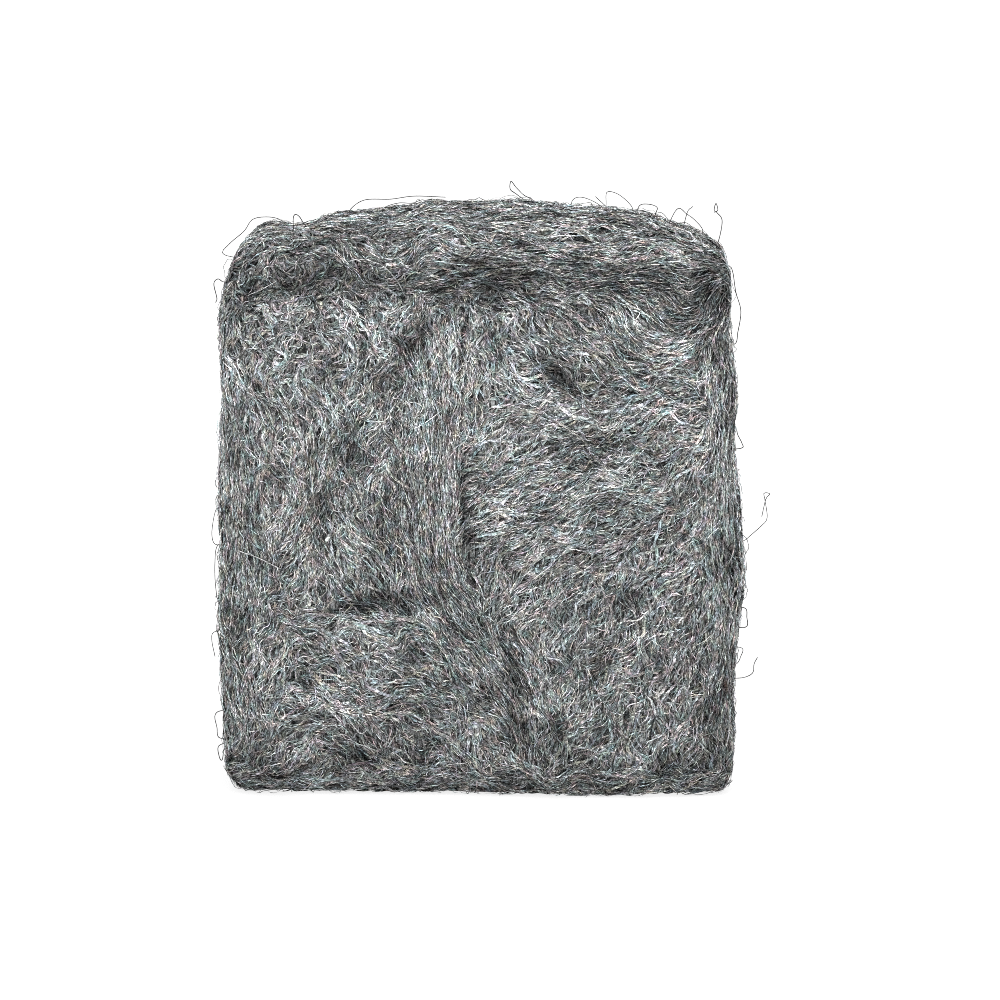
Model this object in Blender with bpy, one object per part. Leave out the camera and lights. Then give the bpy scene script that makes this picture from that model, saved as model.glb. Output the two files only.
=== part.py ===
# A bundle of lead wool: one block of matted lead strands, pressed by hand and standing on its end.
# Metres, +Z up. The broad front faces -Y, and the origin is at the middle of the base.

import math

import bmesh
import bpy
from mathutils import Vector, noise

# Overall block
WIDTH = 0.1455
DEPTH = 0.060
HEIGHT = 0.160
CELL = 0.0037  # spacing of the surface points

# How round the block is
UPRIGHT_RADIUS = 0.013  # the four standing edges
TOP_RADIUS = 0.012
BASE_RADIUS = 0.0040
TIGHT_FOOT = 0.25  # share of the height over which the standing edges open out from the base
TOP_CROWN = 0.0096  # rise of the top's middle over its rim
CROWN_AT_RIM = 0.35  # share of that rise left over the front and back rims
CROWN_FLATNESS = 0.6  # under one keeps the crown high towards its ends
FRONT_BELLY = 0.0028
BACK_BELLY = 0.0022
LEFT_BELLY = 0.0036
RIGHT_BELLY = 0.0034
FACE_BELLY_LEVEL = 0.44  # share of the height where the front and back stand out most
LEFT_BELLY_LEVEL = 0.42
LEFT_SQUARENESS = 4  # two makes the left side a plain bow, more keeps it upright nearer to its ends
RIGHT_BELLY_LEVEL = 0.40
RIGHT_BELLY_HALF = 0.13  # share of the height from its middle to half its size
REAR_NARROWING = 0.0030  # how much slimmer each side is at the back of the top

# The top slumps towards its ends, least at the front. Places are shares of the width from the middle.
LEFT_SLUMP = 0.0026
LEFT_SLUMP_END = -0.335
LEFT_SAG = 0.0022
LEFT_SAG_END = -0.125
LEFT_CORNER = (-0.455, -0.375)  # the slump comes in between these, so the corner keeps its height
RIGHT_SLUMP = 0.0027
RIGHT_SLUMP_START = 0.375
SLUMP_RUN = 0.035  # how fast a slump comes in
SLUMP_AT_FRONT = 0.5  # share of a slump that reaches the front rim
SLUMP_REACH = 0.25  # share of the height that it works down through

# The foot of the front bows out, most on its right
FOOT_BOW = 0.0035
FOOT_BOW_PLACE = 0.25  # share of the width from the middle
FOOT_BOW_HALF = 0.20
FOOT_BOW_REACH = 0.35  # share of the height that it fades over

# Slot under the brow, where the strands folded over the top meet the front
BROW_DROP = 0.0085  # below the top's rim
BROW_SLOT_DEPTH = 0.0030
BROW_SLOT_HALF = 0.0042
BROW_WAVE = 0.0016
BROW_WAVES = 2  # over the width

# Locks are the streams that the strands lie in. Each stands proud between its neighbours.
LOCK_HEIGHT = 0.0026
LOCK_HALF = 0.0058
LOCK_LEVEL = 0.5  # share of a lock's height that lies under the plain face
HOLLOW_RIM = 0.75  # half width of a hollow's curve, in its own half sizes

# Small ridges lie along the strands, and broad tufts come from pressing by hand
MAT_PITCH = 0.0080
MAT_RUN = 0.034  # a ridge's usual length
MAT_HEIGHT = 0.0024
TUFT_PITCH = 0.021
TUFT_HEIGHT = 0.0016
TUFT_SHIFT = Vector((3.1, 7.7, 1.9))  # picks where the tufts fall
LAY_TURN = (0.19, 0.81)  # how far up a surface faces where its strands turn from upright to across

LEAD_GREY = (0.36, 0.375, 0.38, 1.0)
LEAD_ROUGHNESS = 0.42
EDGE_SHARPNESS = math.radians(60)

# Front locks, each a route of points given as shares of the width (from the middle) and the height
FRONT_LOCKS = {
    "left_edge": [(-0.48, 0.92), (-0.48, 0.55), (-0.475, 0.16)],
    "left_fall": [(-0.365, 0.86), (-0.35, 0.64), (-0.36, 0.41)],
    "inner_left_fall": [(-0.235, 0.86), (-0.225, 0.64), (-0.215, 0.49), (-0.16, 0.39)],
    "middle_fall": [
        (-0.08, 0.87),
        (-0.10, 0.64),
        (-0.095, 0.44),
        (-0.015, 0.31),
        (0.07, 0.21),
        (0.115, 0.075),
    ],
    "upper_fan": [(0.015, 0.625), (0.15, 0.69), (0.31, 0.71), (0.42, 0.725)],
    "middle_fan": [(0.0, 0.52), (0.115, 0.57), (0.275, 0.605), (0.405, 0.655)],
    "lower_fan": [(0.04, 0.37), (0.105, 0.455), (0.235, 0.51), (0.39, 0.57)],
    "right_rise": [(0.325, 0.275), (0.355, 0.41), (0.405, 0.51)],
    "right_edge": [(0.467, 0.81), (0.475, 0.55), (0.48, 0.29), (0.46, 0.11)],
    "swirl": [(0.24, 0.92), (0.295, 0.85), (0.385, 0.825), (0.44, 0.895)],
    "inner_swirl": [(0.09, 0.895), (0.13, 0.82), (0.215, 0.78), (0.325, 0.775)],
    "lower_right": [(0.165, 0.09), (0.235, 0.205), (0.31, 0.295)],
    "far_lower_right": [(0.295, 0.08), (0.35, 0.195), (0.405, 0.30)],
    "lower_left_curl": [(-0.44, 0.25), (-0.355, 0.325), (-0.26, 0.295), (-0.165, 0.30)],
    "lower_middle": [(-0.235, 0.225), (-0.125, 0.21), (-0.04, 0.14), (0.0, 0.06)],
    "lower_left": [(-0.40, 0.075), (-0.335, 0.155), (-0.25, 0.14), (-0.18, 0.075)],
}

# Front hollows: middle as shares, half sizes along and across, lean from upright in degrees, depth
FRONT_HOLLOWS = {
    "under_left_fall": ((-0.125, 0.855), (0.0075, 0.0032), -38, 0.0024),
    "upper_right": ((0.16, 0.775), (0.0070, 0.0034), 32, 0.0034),
    "swirl_eye": ((0.40, 0.89), (0.0060, 0.0042), 0, 0.0034),
    "brow_pocket": ((0.055, 0.93), (0.0055, 0.0150), 0, 0.0020),
    "middle_crease": ((-0.015, 0.575), (0.0110, 0.0030), 4, 0.0036),
    "crease_foot": ((-0.015, 0.455), (0.0080, 0.0024), 8, 0.0026),
    "lower_crease": ((0.07, 0.25), (0.0170, 0.0030), 14, 0.0026),
    "crease_end": ((0.135, 0.11), (0.0070, 0.0040), 20, 0.0026),
    "left_arch": ((-0.19, 0.35), (0.0032, 0.0130), 8, 0.0026),
    "right_notch": ((0.22, 0.255), (0.0085, 0.0028), -38, 0.0020),
    "lower_left": ((-0.35, 0.12), (0.0060, 0.0070), 0, 0.0018),
    "left_corner": ((-0.455, 0.93), (0.0065, 0.0030), 8, 0.0022),
    "right_corner": ((0.46, 0.925), (0.0100, 0.0040), 0, 0.0024),
    "hem_dimple": ((-0.245, 0.075), (0.0032, 0.0050), 0, 0.0018),
}


def smooth_step(value):
    t = min(max(value, 0.0), 1.0)
    return t * t * (3 - 2 * t)


def bump(distance, half_width):
    # One at the middle, falling to nothing two half widths away
    t = min(abs(distance) / (2 * half_width), 1.0)
    return (1 - t * t) ** 2


def front_place(share):
    across, up = share
    return across * WIDTH, up * HEIGHT


def distance_to_route(x, z, route):
    nearest = math.inf
    for (ax, az), (bx, bz) in zip(route, route[1:]):
        run_x, run_z = bx - ax, bz - az
        along = ((x - ax) * run_x + (z - az) * run_z) / (run_x**2 + run_z**2)
        along = min(max(along, 0.0), 1.0)
        nearest = min(nearest, math.hypot(x - ax - along * run_x, z - az - along * run_z))
    return nearest


def edge_radius(z):
    # The standing edges tighten towards the base, and never pass the middle of the block
    opened = smooth_step(z / (TIGHT_FOOT * HEIGHT))
    return min(BASE_RADIUS + (UPRIGHT_RADIUS - BASE_RADIUS) * opened, DEPTH / 2, WIDTH / 2)


def rounded_point(flat):
    # Where a point of the sharp block lies on the rounded one, and which way is out there
    half = Vector((WIDTH / 2, DEPTH / 2, HEIGHT / 2))
    q = flat - Vector((0, 0, HEIGHT / 2))
    upright = edge_radius(flat.z)
    rim = min(TOP_RADIUS if q.z > 0 else BASE_RADIUS, HEIGHT / 2)
    radii = Vector((upright, upright, rim))
    inner = Vector(
        [max(-(half[i] - radii[i]), min(half[i] - radii[i], q[i])) for i in range(3)]
    )
    offset = q - inner
    stretch = Vector([offset[i] / radii[i] for i in range(3)])
    if stretch.length < 1e-9:
        return flat.copy(), Vector((0, 0, 0))
    ball = stretch.normalized()
    point = inner + Vector([ball[i] * radii[i] for i in range(3)])
    out = Vector([ball[i] / radii[i] for i in range(3)]).normalized()
    return point + Vector((0, 0, HEIGHT / 2)), out


def fullness(z, level, squareness=2):
    # One at the level's height, falling to nothing at the base and at the rim
    share = z / HEIGHT
    span = level if share < level else 1 - level
    return 1 - min(abs(share - level) / span, 1) ** squareness


def belly(point, out):
    # Gentle swell of each side, and the crowned top
    across = max(1 - (2 * point.x / WIDTH) ** 2, 0)
    depthwise = max(1 - (2 * point.y / DEPTH) ** 2, 0)
    face = FRONT_BELLY if out.y < 0 else BACK_BELLY
    if out.x < 0:
        side = LEFT_BELLY * fullness(point.z, LEFT_BELLY_LEVEL, LEFT_SQUARENESS)
    else:
        side = RIGHT_BELLY * bump(point.z / HEIGHT - RIGHT_BELLY_LEVEL, RIGHT_BELLY_HALF)
    crown = TOP_CROWN * across**CROWN_FLATNESS * (CROWN_AT_RIM + (1 - CROWN_AT_RIM) * depthwise)
    swell = abs(out.y) * face * fullness(point.z, FACE_BELLY_LEVEL) * across
    return swell + abs(out.x) * side + max(out.z, 0) * crown


def slump(point):
    # How far the top has sunk over this place
    share = point.x / WIDTH
    corner, inner = LEFT_CORNER
    sunk = LEFT_SLUMP * smooth_step((LEFT_SLUMP_END - share) / SLUMP_RUN + 0.5)
    sunk += LEFT_SAG * smooth_step((LEFT_SAG_END - share) / SLUMP_RUN + 0.5)
    sunk *= smooth_step((share - corner) / (inner - corner))
    sunk += RIGHT_SLUMP * smooth_step((share - RIGHT_SLUMP_START) / SLUMP_RUN + 0.5)
    rearward = SLUMP_AT_FRONT + (1 - SLUMP_AT_FRONT) * smooth_step(point.y / DEPTH + 0.5)
    return sunk * rearward * smooth_step((point.z / HEIGHT - 1 + SLUMP_REACH) / SLUMP_REACH)


def foot_bow(point):
    # How far the foot stands forward here, from nothing at the back to all of it at the front
    fade = 1 - smooth_step(point.z / HEIGHT / FOOT_BOW_REACH)
    sideways = bump(point.x / WIDTH - FOOT_BOW_PLACE, FOOT_BOW_HALF)
    return FOOT_BOW * fade * sideways * smooth_step(0.5 - point.y / DEPTH)


def brow_slot(point, out):
    # A wavy slot across the front just under the top's rim
    wave = math.sin(point.x / WIDTH * BROW_WAVES * 2 * math.pi)
    level = HEIGHT - BROW_DROP + BROW_WAVE * wave
    fade = smooth_step((WIDTH / 2 - abs(point.x)) / UPRIGHT_RADIUS)
    return max(-out.y, 0) * fade * BROW_SLOT_DEPTH * bump(point.z - level, BROW_SLOT_HALF)


def lock_relief(point, out, routes):
    facing = max(-out.y, 0) ** 2
    if not facing:
        return 0
    proud = max(bump(distance_to_route(point.x, point.z, route), LOCK_HALF) for route in routes)
    return facing * LOCK_HEIGHT * (proud - LOCK_LEVEL)


def hollow_relief(point, out):
    facing = max(-out.y, 0) ** 2
    sunk = 0
    for middle, (along_half, across_half), lean, depth in FRONT_HOLLOWS.values():
        mid_x, mid_z = front_place(middle)
        angle = math.radians(lean)
        dx, dz = point.x - mid_x, point.z - mid_z
        along = (dx * math.sin(angle) - dz * math.cos(angle)) / along_half
        across = (dx * math.cos(angle) + dz * math.sin(angle)) / across_half
        sunk = max(sunk, depth * bump(math.hypot(along, across), HOLLOW_RIM))
    return -facing * sunk


def mat_relief(point, out):
    # Ridges run along the lay: upright on the walls, and across the top
    walls = Vector((point.x / MAT_PITCH, point.y / MAT_PITCH, point.z / MAT_RUN))
    top = Vector((point.x / MAT_RUN, point.y / MAT_PITCH, point.z / MAT_PITCH))
    start, end = LAY_TURN
    on_top = smooth_step((abs(out.z) - start) / (end - start))
    ridges = noise.noise(walls) * (1 - on_top) + noise.noise(top) * on_top
    tufts = noise.noise(point / TUFT_PITCH + TUFT_SHIFT)
    return MAT_HEIGHT * ridges + TUFT_HEIGHT * tufts


def wool_point(flat, routes):
    point, out = rounded_point(flat)
    relief = belly(point, out) - brow_slot(point, out)
    relief += lock_relief(point, out, routes) + hollow_relief(point, out) + mat_relief(point, out)
    # The base is pressed flat, and the relief starts above its rounded edge
    lift = smooth_step(point.z / (2 * BASE_RADIUS))
    shaped = point + out * relief * lift
    shaped.z = max(shaped.z, 0)
    rear = smooth_step(point.y / DEPTH + 0.5) * smooth_step(point.z / HEIGHT * 2 - 1)
    shaped.x *= 1 - rear * REAR_NARROWING / (WIDTH / 2)
    shaped.y -= foot_bow(point)
    shaped.z -= slump(point)
    return shaped


def gridded_block():
    # A box cut into cells along each of its edges
    block = bmesh.new()
    bmesh.ops.create_cube(block, size=1)
    for vertex in block.verts:
        across, back, up = vertex.co
        vertex.co = Vector((across * WIDTH, back * DEPTH, (up + 0.5) * HEIGHT))
    for axis, side in enumerate((WIDTH, DEPTH, HEIGHT)):
        along = [e for e in block.edges if abs((e.verts[0].co - e.verts[1].co)[axis]) > side / 2]
        bmesh.ops.subdivide_edges(block, edges=along, cuts=round(side / CELL) - 1)
    return block


def centre_over_base(block):
    low = Vector([min(v.co[i] for v in block.verts) for i in range(3)])
    high = Vector([max(v.co[i] for v in block.verts) for i in range(3)])
    shift = Vector((-(low.x + high.x) / 2, -(low.y + high.y) / 2, -low.z))
    bmesh.ops.translate(block, verts=block.verts, vec=shift)


def lead_material():
    material = bpy.data.materials.new("lead_wool")
    material.use_nodes = True
    shader = material.node_tree.nodes["Principled BSDF"]
    shader.inputs["Base Color"].default_value = LEAD_GREY
    shader.inputs["Metallic"].default_value = 1.0
    shader.inputs["Roughness"].default_value = LEAD_ROUGHNESS
    material.diffuse_color = LEAD_GREY
    return material


def wool_bundle():
    block = gridded_block()
    routes = [[front_place(share) for share in route] for route in FRONT_LOCKS.values()]
    for vertex in block.verts:
        vertex.co = wool_point(vertex.co, routes)
    centre_over_base(block)
    bmesh.ops.recalc_face_normals(block, faces=block.faces)
    mesh = bpy.data.meshes.new("wool_bundle")
    block.to_mesh(mesh)
    block.free()
    mesh.shade_smooth()
    mesh.set_sharp_from_angle(angle=EDGE_SHARPNESS)
    mesh.materials.append(lead_material())
    bundle = bpy.data.objects.new("wool_bundle", mesh)
    bpy.context.scene.collection.objects.link(bundle)
    return bundle


def main():
    for old in list(bpy.data.objects):
        bpy.data.objects.remove(old)
    wool_bundle()


main()
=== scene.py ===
import math

import bpy
import numpy as np
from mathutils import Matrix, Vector
from mathutils.bvhtree import BVHTree


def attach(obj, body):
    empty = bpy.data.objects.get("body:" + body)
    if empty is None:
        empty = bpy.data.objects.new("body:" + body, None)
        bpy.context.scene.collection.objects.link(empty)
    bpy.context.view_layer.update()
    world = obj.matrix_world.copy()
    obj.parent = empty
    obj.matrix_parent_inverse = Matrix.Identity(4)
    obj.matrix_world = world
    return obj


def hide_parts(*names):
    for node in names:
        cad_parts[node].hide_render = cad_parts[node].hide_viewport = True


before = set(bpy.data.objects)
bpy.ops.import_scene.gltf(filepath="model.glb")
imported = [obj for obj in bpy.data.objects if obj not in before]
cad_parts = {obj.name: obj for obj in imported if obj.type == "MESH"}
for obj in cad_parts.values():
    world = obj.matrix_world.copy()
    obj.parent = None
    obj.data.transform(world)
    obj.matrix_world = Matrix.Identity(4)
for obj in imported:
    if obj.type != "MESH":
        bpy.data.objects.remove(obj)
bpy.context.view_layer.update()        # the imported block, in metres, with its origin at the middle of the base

print("frame loaded")

# Camera: a long lens a little above the block, straight on
view = {
    "elevation": 14.0,
    "distance": 1.30,
    "aim": (0.0053, -0.030, 0.0893),
    "lens": 163.1,
    "sensor": 36.0,
    "clip": (0.05, 60),
    "imageSide": 1000,
}


def viewAxes():
    # towards the camera, and up in its picture
    tilt = math.radians(view["elevation"])
    back = Vector((0, -math.cos(tilt), math.sin(tilt)))
    up = Vector((0, math.sin(tilt), math.cos(tilt)))
    return back, up


def makeCamera():
    data = bpy.data.cameras.new("benchCamera")
    data.lens = view["lens"]
    data.sensor_width = view["sensor"]
    data.clip_start, data.clip_end = view["clip"]
    camera = bpy.data.objects.new("benchCamera", data)
    bpy.context.scene.collection.objects.link(camera)
    back, up = viewAxes()
    camera.location = Vector(view["aim"]) + back * view["distance"]
    camera.rotation_mode = "QUATERNION"
    camera.rotation_quaternion = (-back).to_track_quat("-Z", "Y")
    bpy.context.scene.camera = camera


def sightPlace(pixel, planeY):
    # where the line of sight through a pixel crosses the upright plane y = planeY
    back, up = viewAxes()
    focal = view["lens"] / view["sensor"] * view["imageSide"]
    half = view["imageSide"] / 2
    eye = Vector(view["aim"]) + back * view["distance"]
    across = Vector((1, 0, 0)) * ((pixel[0] - half) / focal)
    ray = across + up * ((half - pixel[1]) / focal) - back
    return eye + ray * ((planeY - eye.y) / ray.y)


makeCamera()
print("camera set")

# The lay: which way the strands run on each face
# Front locks are routes of points, as shares of the width (from the middle) and the height
lay = {
    "width": 0.1455,
    "height": 0.160,
    "lockReach": 0.0035,       # how far a lock holds its own direction
    "browStart": 0.90,         # over this share of the height the strands turn level
    "browEnd": 0.955,
    "hemStart": 0.080,         # under this share they turn level too
    "hemEnd": 0.025,
    "wander": 0.20,            # slow swing of the lay, in radians
    "wanderLength": 0.020,
    "tangle": 0.35,            # the same at a smaller scale
    "tangleLength": 0.0060,
    "calmHold": 0.85,          # how far a combed stretch quiets both
    "snarlGain": 1.2,          # how much a snarled stretch adds to both
    "faceStart": 0.25,         # a face's own lay comes in as the surface turns to it
    "faceFade": 0.5,
    "frontStart": 0.4,         # the soft places fade out towards the back
    "frontFade": 0.02,
}

frontLocks = {
    "leftEdge": [(-0.48, 0.92), (-0.48, 0.55), (-0.475, 0.16)],
    "leftFall": [(-0.365, 0.86), (-0.35, 0.64), (-0.36, 0.41)],
    "innerLeftFall": [(-0.235, 0.86), (-0.225, 0.64), (-0.215, 0.49), (-0.16, 0.39)],
    "middleFall": [
        (-0.08, 0.87),
        (-0.10, 0.64),
        (-0.095, 0.44),
        (-0.015, 0.31),
        (0.07, 0.21),
        (0.115, 0.075),
    ],
    "upperFan": [(0.015, 0.625), (0.15, 0.69), (0.31, 0.71), (0.42, 0.725)],
    "middleFan": [(0.0, 0.52), (0.115, 0.57), (0.275, 0.605), (0.405, 0.655)],
    "lowerFan": [(0.04, 0.37), (0.105, 0.455), (0.235, 0.51), (0.39, 0.57)],
    "rightRise": [(0.325, 0.275), (0.355, 0.41), (0.405, 0.51)],
    "rightEdge": [(0.467, 0.81), (0.475, 0.55), (0.48, 0.29), (0.46, 0.11)],
    "swirl": [(0.26, 0.92), (0.305, 0.855), (0.385, 0.835), (0.455, 0.88)],
    "swirlCore": [(0.33, 0.925), (0.355, 0.885), (0.40, 0.868), (0.44, 0.89), (0.45, 0.925)],
    "innerSwirl": [(0.09, 0.895), (0.13, 0.82), (0.215, 0.78), (0.325, 0.775)],
    "lowerRight": [(0.165, 0.09), (0.235, 0.205), (0.31, 0.295)],
    "farLowerRight": [(0.295, 0.08), (0.35, 0.195), (0.405, 0.30)],
    "lowerLeftCurl": [(-0.44, 0.25), (-0.355, 0.325), (-0.26, 0.295), (-0.165, 0.30)],
    "lowerMiddle": [(-0.235, 0.225), (-0.125, 0.21), (-0.04, 0.14), (0.0, 0.06)],
    "lowerLeft": [(-0.40, 0.075), (-0.335, 0.155), (-0.25, 0.14), (-0.18, 0.075)],
}

# Soft places on the front: the middle as shares of the width and height, the half sizes along and
# across in metres, the lean in degrees, and the strength
# Hollows: here strands are fewer and sunk and the core lies deeper, and the strands' colour is darkened as
# painted shade
hollowsWithPaintedShade = {
    "leftGroove": ((-0.31, 0.955), (0.0044, 0.0170), 4, 1.00),
    "middleGroove": ((0.06, 0.945), (0.0055, 0.0140), 0, 0.85),
    "rightGroove": ((0.31, 0.955), (0.0040, 0.0140), 0, 0.70),
    "rightCorner": ((0.455, 0.90), (0.0120, 0.0048), 0, 1.10),
    "swirlEye": ((0.400, 0.885), (0.0042, 0.0030), 0, 1.00),
    "leftCorner": ((-0.455, 0.92), (0.0060, 0.0026), 8, 0.60),
    "underLeftFall": ((-0.128, 0.845), (0.0060, 0.0022), -38, 1.00),
    "leftStreak": ((-0.325, 0.565), (0.0180, 0.0012), 0, 0.50),
    "upperRight": ((0.155, 0.785), (0.0058, 0.0018), 42, 1.50),
    "rightSlip": ((0.245, 0.665), (0.0022, 0.0034), 0, 0.65),
    "middleCrease": ((-0.034, 0.545), (0.0085, 0.0010), 2, 1.50),
    "creasePocket": ((-0.018, 0.530), (0.0020, 0.0028), 0, 0.80),
    "creaseFoot": ((-0.024, 0.450), (0.0065, 0.0012), 6, 1.30),
    "lowerCrease": ((0.062, 0.24), (0.0120, 0.0015), 14, 0.85),
    "creaseEnd": ((0.07, 0.13), (0.0055, 0.0020), 20, 0.90),
    "creaseTwin": ((0.15, 0.12), (0.0055, 0.0020), 12, 0.90),
    "leftArch": ((-0.205, 0.365), (0.0020, 0.0120), 8, 0.80),
    "rightNotch": ((0.235, 0.26), (0.0065, 0.0022), -38, 0.60),
    "lowerLeft": ((-0.375, 0.125), (0.0036, 0.0046), 0, 0.60),
    "lowerLeftRise": ((-0.355, 0.225), (0.0045, 0.0020), 10, 0.50),
    "hemDimple": ((-0.25, 0.075), (0.0024, 0.0038), 0, 0.55),
    "rightSeam": ((0.49, 0.42), (0.0180, 0.0022), 0, 0.50),
    "rightRim": ((0.495, 0.69), (0.0120, 0.0030), 0, 0.55),
    "lowRightRim": ((0.48, 0.08), (0.0200, 0.0060), 0, 0.50),
}

# Painted light: soft patches where the strands' colour is painted brighter, as pools of light on the front
paintedLightPlaces = {
    "leftBrow": ((-0.185, 0.875), (0.0050, 0.0050), 0, 0.30),
    "middleBrow": ((-0.06, 0.84), (0.0040, 0.0036), 0, 0.45),
    "middleBrowLow": ((-0.10, 0.72), (0.0100, 0.0050), 0, 0.25),
    "swirlShine": ((0.36, 0.81), (0.0070, 0.0075), 30, 0.25),
    "leftColumn": ((-0.35, 0.63), (0.0150, 0.0045), 0, 0.25),
    "leftRim": ((-0.49, 0.80), (0.0060, 0.0040), 0, 0.35),
    "creaseLip": ((0.02, 0.54), (0.0055, 0.0040), 20, 0.15),
    "fanShine": ((0.32, 0.64), (0.0060, 0.0120), 0, 0.22),
    "fanTop": ((0.25, 0.755), (0.0050, 0.0060), 0, 0.25),
    "streamHead": ((0.015, 0.31), (0.0050, 0.0045), 0, 0.40),
    "footShine": ((-0.30, 0.23), (0.0060, 0.0100), 0, 0.20),
    "footMiddle": ((-0.18, 0.085), (0.0065, 0.0140), 0, 0.30),
}

# Combed stretches, where the strands hang straight and tidy
calmPlaces = {
    "leftEdge": ((-0.48, 0.50), (0.045, 0.0045), 0, 0.90),
    "leftCurtain": ((-0.31, 0.53), (0.020, 0.0050), 0, 0.65),
    "middleCurtain": ((-0.09, 0.55), (0.030, 0.0075), 0, 0.95),
    "stream": ((0.02, 0.27), (0.022, 0.0050), 16, 0.85),
    "rightEdge": ((0.47, 0.42), (0.050, 0.0045), 0, 0.80),
    "fan": ((0.12, 0.56), (0.0080, 0.0130), -20, 0.60),
    "brow": ((0.15, 0.975), (0.0060, 0.0350), 0, 0.80),
    "swirl": ((0.34, 0.855), (0.0080, 0.0120), 0, 0.80),
}

# Snarled stretches, where they curl over each other
snarledPlaces = {
    "leftShoulder": ((-0.38, 0.93), (0.016, 0.019), 0, 2.0),
    "footCurls": ((-0.32, 0.27), (0.010, 0.018), 0, 0.6),
}


def smoothStep(values):
    t = np.clip(values, 0.0, 1.0)
    return t * t * (3 - 2 * t)


def unit(vectors):
    return vectors / np.maximum(np.linalg.norm(vectors, axis=-1, keepdims=True), 1e-12)


waveSpread = (0.7, 1.6)        # shortest and longest wave of a noise, as shares of its length


def waveNoise(points, length, seed, waves=20):
    # smooth unit noise: a sum of plane waves of about one wavelength, each with its own heading
    dice = np.random.default_rng(seed)
    heading = unit(dice.normal(size=(waves, 3)))
    pitch = 2 * np.pi / (length * dice.uniform(*waveSpread, waves))
    phase = dice.uniform(0, 2 * np.pi, waves)
    return np.cos(points @ (heading * pitch[:, None]).T + phase).sum(-1) * math.sqrt(2 / waves)


def placeStrength(points, places):
    # how far each point is inside the soft places, from 0 to their strength
    total = np.zeros(points.shape[:-1])
    for (across, up), (halfAlong, halfAcross), lean, strength in places.values():
        angle = math.radians(lean)
        dx = points[..., 0] - across * lay["width"]
        dz = points[..., 2] - up * lay["height"]
        along = (dx * math.sin(angle) - dz * math.cos(angle)) / halfAlong
        side = (dx * math.cos(angle) + dz * math.sin(angle)) / halfAcross
        total = np.maximum(total, strength * np.exp(-0.5 * (along**2 + side**2)))
    return total * smoothStep(-points[..., 1] / lay["frontFade"] - lay["frontStart"])


def lockRuns():
    runs = []
    for route in frontLocks.values():
        places = [(across * lay["width"], up * lay["height"]) for across, up in route]
        runs += list(zip(places, places[1:]))
    return np.array(runs)


runs = lockRuns()


def frontAngle(x, z):
    # the angle is doubled while it is averaged, so that a lock counts the same from either end
    start, run = runs[:, 0], runs[:, 1] - runs[:, 0]
    gap = np.stack([x, z], 1)[:, None] - start
    along = np.clip((gap * run).sum(2) / (run**2).sum(1), 0, 1)
    far = np.linalg.norm(gap - along[..., None] * run, axis=2)
    weight = 1 / (far**2 + lay["lockReach"] ** 2) ** 1.5
    weight /= weight.sum(1, keepdims=True)
    turn = 2 * np.arctan2(run[:, 1], run[:, 0])
    level = smoothStep((z / lay["height"] - lay["browStart"]) / (lay["browEnd"] - lay["browStart"]))
    level += smoothStep((lay["hemStart"] - z / lay["height"]) / (lay["hemStart"] - lay["hemEnd"]))
    cosine = (weight * np.cos(turn)).sum(1) * (1 - level) + level
    sine = (weight * np.sin(turn)).sum(1) * (1 - level)
    return np.arctan2(sine, cosine) / 2


def layDirections(points, normals):
    onTop = smoothStep((np.abs(normals[:, 2]) - lay["faceStart"]) / lay["faceFade"])
    onFront = smoothStep((-normals[:, 1] - lay["faceStart"]) / lay["faceFade"]) * (1 - onTop)
    angle = frontAngle(points[:, 0], points[:, 2])
    front = np.stack([np.cos(angle), np.zeros_like(angle), np.sin(angle)], 1)
    candidates = [
        (front, onFront),
        (np.broadcast_to((0.0, 0.0, 1.0), points.shape), 1 - onFront - onTop),
        (np.broadcast_to((1.0, 0.0, 0.0), points.shape), onTop),
    ]
    helper = np.where(np.abs(normals[:, 2:]) < 0.9, (0.0, 0.0, 1.0), (0.0, 1.0, 0.0))
    side = unit(np.cross(helper, normals))
    rise = np.cross(normals, side)
    cosine = np.zeros(len(points))
    sine = np.zeros(len(points))
    for line, weight in candidates:
        u = (line * side).sum(1)
        v = (line * rise).sum(1)
        flat = np.maximum(u * u + v * v, 1e-9)
        cosine += weight * (u * u - v * v) / flat
        sine += weight * 2 * u * v / flat
    turn = np.arctan2(sine, cosine) / 2
    loose = 1 - lay["calmHold"] * placeStrength(points, calmPlaces)
    loose += lay["snarlGain"] * placeStrength(points, snarledPlaces)
    turn += loose * lay["wander"] * waveNoise(points, lay["wanderLength"], 11)
    turn += loose * lay["tangle"] * waveNoise(points, lay["tangleLength"], 12)
    return side * np.cos(turn)[:, None] + rise * np.sin(turn)[:, None]


# Surface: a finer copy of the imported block, which the strands are laid on
def fineBody():
    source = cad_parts["wool_bundle"]
    body = bpy.data.objects.new("fineBody", source.data.copy())
    bpy.context.scene.collection.objects.link(body)
    weld = body.modifiers.new("weld", "WELD")
    weld.merge_threshold = 0.00001
    smooth = body.modifiers.new("smooth", "SUBSURF")
    smooth.subdivision_type = "CATMULL_CLARK"
    smooth.levels = smooth.render_levels = 1
    graph = bpy.context.evaluated_depsgraph_get()
    mesh = bpy.data.meshes.new_from_object(body.evaluated_get(graph))
    bpy.data.objects.remove(body)
    return mesh


def meshPoints(mesh):
    places = np.empty(len(mesh.vertices) * 3, np.float32)
    mesh.vertices.foreach_get("co", places)
    return places.reshape(-1, 3).astype(float)


def meshTriangles(mesh):
    mesh.calc_loop_triangles()
    numbers = np.empty(len(mesh.loop_triangles) * 3, np.int32)
    mesh.loop_triangles.foreach_get("vertices", numbers)
    return numbers.reshape(-1, 3)


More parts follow.
